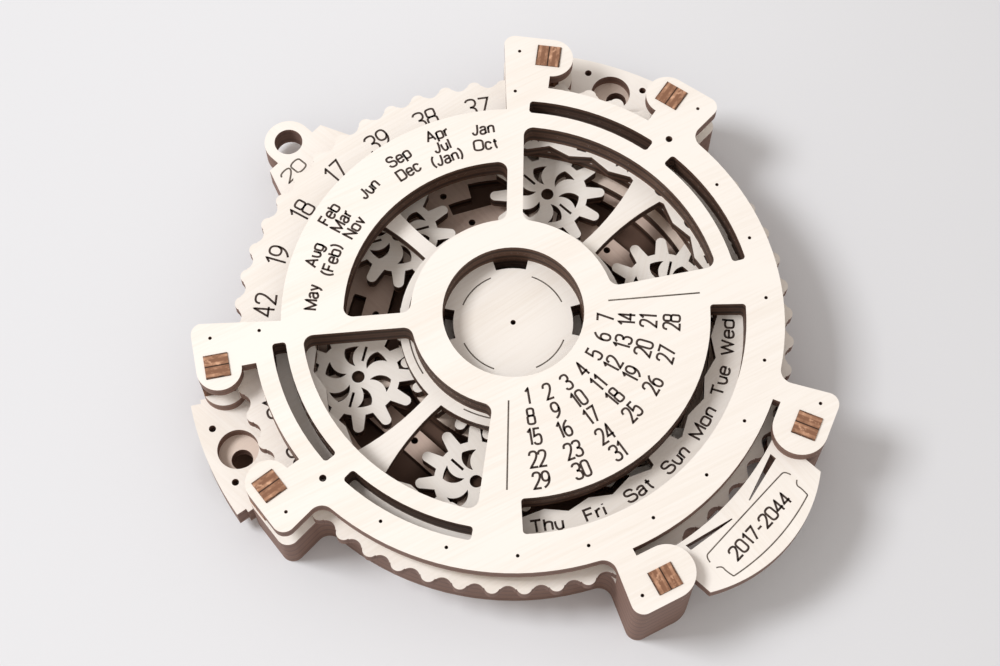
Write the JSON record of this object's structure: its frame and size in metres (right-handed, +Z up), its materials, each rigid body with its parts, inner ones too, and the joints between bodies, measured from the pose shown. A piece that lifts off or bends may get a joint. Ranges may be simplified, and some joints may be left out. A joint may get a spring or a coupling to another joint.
{
  "type": "perpetual desk calendar",
  "caption": "Perpetual calendar disc of stacked plywood: a scalloped wheel turns between slotted plates on posts, with a sun gear and planet gears behind the windows.",
  "frame": {"origin": "on the disc axis at the flat bottom face of the base plate", "axes": "+Z up out of the dial along the disc axis, +Y towards the hanging lobe, -Y towards the year label, +X to the right when the dial is read"},
  "size_m": [0.1448, 0.1562, 0.0213],
  "materials": {
    "plywood": "bare laser-cut ply, matt",
    "post_ply": "laser-browned ply ends, matt",
    "turned_wood": "dark turned wood, matt"
  },
  "bodies": {
    "case": {"base_plate": "plywood", "back_plate": "plywood", "lower_frame": "plywood", "middle_ring": "plywood", "label_spacer_left": "plywood", "label_spacer_right": "plywood", "label_plate": "plywood", "window_plate": "plywood", "front_plate": "plywood", "post_1": "post_ply", "post_2": "post_ply", "post_3": "post_ply", "post_4": "post_ply", "post_5": "post_ply", "post_6": "post_ply", "hub_pivot": "turned_wood", "planet_axle_1": "turned_wood", "planet_axle_2": "turned_wood", "planet_axle_3": "turned_wood", "planet_axle_4": "turned_wood", "planet_axle_5": "turned_wood", "planet_axle_6": "turned_wood"},
    "wheel": {"calendar_wheel": "plywood", "hub_spacer": "plywood", "sun_gear": "plywood", "hub_dowels": "turned_wood"},
    "planet_1": {"planet_gear_1": "plywood"},
    "planet_2": {"planet_gear_2": "plywood"},
    "planet_3": {"planet_gear_3": "plywood"},
    "planet_4": {"planet_gear_4": "plywood"},
    "planet_5": {"planet_gear_5": "plywood"},
    "planet_6": {"planet_gear_6": "plywood"}
  },
  "joints": [
    {"name": "wheel_spin", "type": "hinge", "parent": "case", "child": "wheel", "pos_m": [0, 0, 0], "axis": [0, 0, 1], "continuous": true},
    {"name": "planet_1_spin", "type": "hinge", "parent": "case", "child": "planet_1", "pos_m": [0.03144, 0.01815, 0.0075], "axis": [0, 0, 1], "continuous": true},
    {"name": "planet_2_spin", "type": "hinge", "parent": "case", "child": "planet_2", "pos_m": [0, 0.0363, 0.0075], "axis": [0, 0, 1], "continuous": true},
    {"name": "planet_3_spin", "type": "hinge", "parent": "case", "child": "planet_3", "pos_m": [-0.03144, 0.01815, 0.0075], "axis": [0, 0, 1], "continuous": true},
    {"name": "planet_4_spin", "type": "hinge", "parent": "case", "child": "planet_4", "pos_m": [-0.03144, -0.01815, 0.0075], "axis": [0, 0, 1], "continuous": true},
    {"name": "planet_5_spin", "type": "hinge", "parent": "case", "child": "planet_5", "pos_m": [0, -0.0363, 0.0075], "axis": [0, 0, 1], "continuous": true},
    {"name": "planet_6_spin", "type": "hinge", "parent": "case", "child": "planet_6", "pos_m": [0.03144, -0.01815, 0.0075], "axis": [0, 0, 1], "continuous": true}
  ],
  "couplings": [
    {"joint": "planet_1_spin", "follows": "wheel_spin", "ratio": -2},
    {"joint": "planet_2_spin", "follows": "wheel_spin", "ratio": -2},
    {"joint": "planet_3_spin", "follows": "wheel_spin", "ratio": -2},
    {"joint": "planet_4_spin", "follows": "wheel_spin", "ratio": -2},
    {"joint": "planet_5_spin", "follows": "wheel_spin", "ratio": -2},
    {"joint": "planet_6_spin", "follows": "wheel_spin", "ratio": -2}
  ]
}
